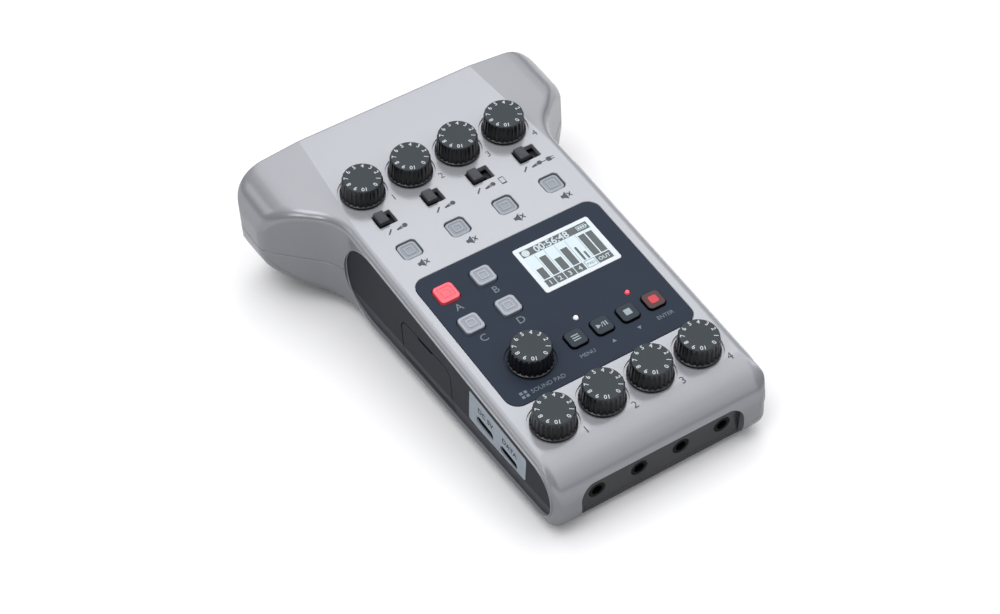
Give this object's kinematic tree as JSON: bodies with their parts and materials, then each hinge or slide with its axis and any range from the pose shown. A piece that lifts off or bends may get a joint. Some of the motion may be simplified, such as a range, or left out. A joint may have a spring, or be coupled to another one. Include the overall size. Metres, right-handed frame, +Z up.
{
  "type": "podcast mixer",
  "caption": "Handheld battery podcast mixer: wedge case with a flared head, gain and headphone knobs, input switches, mute and sound pads, display, and microphone sockets at the rear.",
  "frame": {"origin": "on the table, under the middle of the case's bounding box", "axes": "+Z up, +Y to the rear with the microphone sockets, +X to the right of a user who faces the controls"},
  "size_m": [0.114, 0.155, 0.0471],
  "materials": {
    "silver": "satin",
    "side_black": "satin",
    "panel_slate": "matte",
    "window": "clear",
    "module": "smooth",
    "board": "solder mask",
    "component": "matte",
    "lamp": "clear",
    "socket_black": "moulded",
    "contact": "plated",
    "port_plate": "satin",
    "steel": "plain",
    "cell": "sleeve",
    "rubber": "matte",
    "knob_black": "moulded",
    "lever_black": "satin",
    "button_clear": "translucent",
    "pad_lit": "lit",
    "button_dark": "satin"
  },
  "bodies": {
    "case": {"top_shell": "silver", "bottom_shell": "silver", "left_side_panel": "side_black", "right_side_panel": "side_black", "control_panel": "panel_slate", "display_window": "window", "display_module": "module", "main_board": "board", "pot_bodies": "component", "slide_switch_bodies": "component", "tact_switches": "component", "status_leds": "lamp", "xlr_shells": "socket_black", "xlr_inserts": "socket_black", "xlr_contacts": "contact", "mini_jacks": "socket_black", "usb_plate": "port_plate", "side_sockets": "steel", "standoffs": "contact", "batteries": "cell", "battery_contacts": "steel", "rubber_feet": "rubber", "case_screws": "steel"},
    "gain_knob_1": {"gain_knob_1": "knob_black", "gain_shaft_1": "steel"},
    "gain_knob_2": {"gain_knob_2": "knob_black", "gain_shaft_2": "steel"},
    "gain_knob_3": {"gain_knob_3": "knob_black", "gain_shaft_3": "steel"},
    "gain_knob_4": {"gain_knob_4": "knob_black", "gain_shaft_4": "steel"},
    "phones_knob_1": {"phones_knob_1": "knob_black", "phones_shaft_1": "steel"},
    "phones_knob_2": {"phones_knob_2": "knob_black", "phones_shaft_2": "steel"},
    "phones_knob_3": {"phones_knob_3": "knob_black", "phones_shaft_3": "steel"},
    "phones_knob_4": {"phones_knob_4": "knob_black", "phones_shaft_4": "steel"},
    "pad_knob": {"pad_knob": "knob_black", "pad_shaft": "steel"},
    "input_switch_1": {"input_switch_1": "lever_black"},
    "input_switch_2": {"input_switch_2": "lever_black"},
    "input_switch_3": {"input_switch_3": "lever_black"},
    "input_switch_4": {"input_switch_4": "lever_black"},
    "mute_button_1": {"mute_button_1": "button_clear"},
    "mute_button_2": {"mute_button_2": "button_clear"},
    "mute_button_3": {"mute_button_3": "button_clear"},
    "mute_button_4": {"mute_button_4": "button_clear"},
    "sound_pad_a": {"sound_pad_a": "pad_lit"},
    "sound_pad_b": {"sound_pad_b": "button_clear"},
    "sound_pad_c": {"sound_pad_c": "button_clear"},
    "sound_pad_d": {"sound_pad_d": "button_clear"},
    "menu_button": {"menu_button": "button_dark"},
    "play_button": {"play_button": "button_dark"},
    "stop_button": {"stop_button": "button_dark"},
    "record_button": {"record_button": "button_dark"},
    "card_door": {"card_door": "side_black"},
    "power_slider": {"power_slider": "lever_black"},
    "battery_door": {"battery_door": "silver"}
  },
  "joints": [
    {"name": "gain_knob_1_turn", "type": "hinge", "parent": "case", "child": "gain_knob_1", "pos_m": [-0.0261, 0.04696, 0.04263], "axis": [0, -0.1167, 0.9932], "range_deg": [-150, 150]},
    {"name": "gain_knob_2_turn", "type": "hinge", "parent": "case", "child": "gain_knob_2", "pos_m": [-0.0087, 0.04696, 0.04263], "axis": [0, -0.1167, 0.9932], "range_deg": [-150, 150]},
    {"name": "gain_knob_3_turn", "type": "hinge", "parent": "case", "child": "gain_knob_3", "pos_m": [0.0087, 0.04696, 0.04263], "axis": [0, -0.1167, 0.9932], "range_deg": [-150, 150]},
    {"name": "gain_knob_4_turn", "type": "hinge", "parent": "case", "child": "gain_knob_4", "pos_m": [0.0261, 0.04696, 0.04263], "axis": [0, -0.1167, 0.9932], "range_deg": [-150, 150]},
    {"name": "phones_knob_1_turn", "type": "hinge", "parent": "case", "child": "phones_knob_1", "pos_m": [-0.02565, -0.05891, 0.0302], "axis": [0, -0.1167, 0.9932], "range_deg": [-150, 150]},
    {"name": "phones_knob_2_turn", "type": "hinge", "parent": "case", "child": "phones_knob_2", "pos_m": [-0.00855, -0.05891, 0.0302], "axis": [0, -0.1167, 0.9932], "range_deg": [-150, 150]},
    {"name": "phones_knob_3_turn", "type": "hinge", "parent": "case", "child": "phones_knob_3", "pos_m": [0.00855, -0.05891, 0.0302], "axis": [0, -0.1167, 0.9932], "range_deg": [-150, 150]},
    {"name": "phones_knob_4_turn", "type": "hinge", "parent": "case", "child": "phones_knob_4", "pos_m": [0.02565, -0.05891, 0.0302], "axis": [0, -0.1167, 0.9932], "range_deg": [-150, 150]},
    {"name": "pad_knob_turn", "type": "hinge", "parent": "case", "child": "pad_knob", "pos_m": [-0.0185, -0.03607, 0.03288], "axis": [0, -0.1167, 0.9932], "range_deg": [-150, 150]},
    {"name": "input_switch_1_slide", "type": "slide", "parent": "case", "child": "input_switch_1", "axis": [1, 0, 0], "range_m": [0, 0.0023]},
    {"name": "input_switch_2_slide", "type": "slide", "parent": "case", "child": "input_switch_2", "axis": [1, 0, 0], "range_m": [0, 0.0023]},
    {"name": "input_switch_3_slide", "type": "slide", "parent": "case", "child": "input_switch_3", "axis": [1, 0, 0], "range_m": [0, 0.0037]},
    {"name": "input_switch_4_slide", "type": "slide", "parent": "case", "child": "input_switch_4", "axis": [1, 0, 0], "range_m": [0, 0.0037]},
    {"name": "mute_button_1_press", "type": "slide", "parent": "case", "child": "mute_button_1", "axis": [0, 0.1167, -0.9932], "range_m": [0, 0.0005], "stiffness_N_per_m": 1500, "springref_m": -0.0003},
    {"name": "mute_button_2_press", "type": "slide", "parent": "case", "child": "mute_button_2", "axis": [0, 0.1167, -0.9932], "range_m": [0, 0.0005], "stiffness_N_per_m": 1500, "springref_m": -0.0003},
    {"name": "mute_button_3_press", "type": "slide", "parent": "case", "child": "mute_button_3", "axis": [0, 0.1167, -0.9932], "range_m": [0, 0.0005], "stiffness_N_per_m": 1500, "springref_m": -0.0003},
    {"name": "mute_button_4_press", "type": "slide", "parent": "case", "child": "mute_button_4", "axis": [0, 0.1167, -0.9932], "range_m": [0, 0.0005], "stiffness_N_per_m": 1500, "springref_m": -0.0003},
    {"name": "sound_pad_a_press", "type": "slide", "parent": "case", "child": "sound_pad_a", "axis": [0, 0.1167, -0.9932], "range_m": [0, 0.0005], "stiffness_N_per_m": 1500, "springref_m": -0.0003},
    {"name": "sound_pad_b_press", "type": "slide", "parent": "case", "child": "sound_pad_b", "axis": [0, 0.1167, -0.9932], "range_m": [0, 0.0005], "stiffness_N_per_m": 1500, "springref_m": -0.0003},
    {"name": "sound_pad_c_press", "type": "slide", "parent": "case", "child": "sound_pad_c", "axis": [0, 0.1167, -0.9932], "range_m": [0, 0.0005], "stiffness_N_per_m": 1500, "springref_m": -0.0003},
    {"name": "sound_pad_d_press", "type": "slide", "parent": "case", "child": "sound_pad_d", "axis": [0, 0.1167, -0.9932], "range_m": [0, 0.0005], "stiffness_N_per_m": 1500, "springref_m": -0.0003},
    {"name": "menu_button_press", "type": "slide", "parent": "case", "child": "menu_button", "axis": [0, 0.1167, -0.9932], "range_m": [0, 0.0005], "stiffness_N_per_m": 1500, "springref_m": -0.0003},
    {"name": "play_button_press", "type": "slide", "parent": "case", "child": "play_button", "axis": [0, 0.1167, -0.9932], "range_m": [0, 0.0005], "stiffness_N_per_m": 1500, "springref_m": -0.0003},
    {"name": "stop_button_press", "type": "slide", "parent": "case", "child": "stop_button", "axis": [0, 0.1167, -0.9932], "range_m": [0, 0.0005], "stiffness_N_per_m": 1500, "springref_m": -0.0003},
    {"name": "record_button_press", "type": "slide", "parent": "case", "child": "record_button", "axis": [0, 0.1167, -0.9932], "range_m": [0, 0.0005], "stiffness_N_per_m": 1500, "springref_m": -0.0003},
    {"name": "card_door_swing", "type": "hinge", "parent": "case", "child": "card_door", "pos_m": [-0.03753, -0.0075, 0.008], "axis": [0, -1, 0], "range_deg": [0, 100]},
    {"name": "power_slide", "type": "slide", "parent": "case", "child": "power_slider", "axis": [0, -0.9932, -0.1167], "range_m": [0, 0.004]},
    {"name": "battery_door_slide", "type": "slide", "parent": "case", "child": "battery_door", "axis": [0, -1, 0], "range_m": [0, 0.004]}
  ]
}
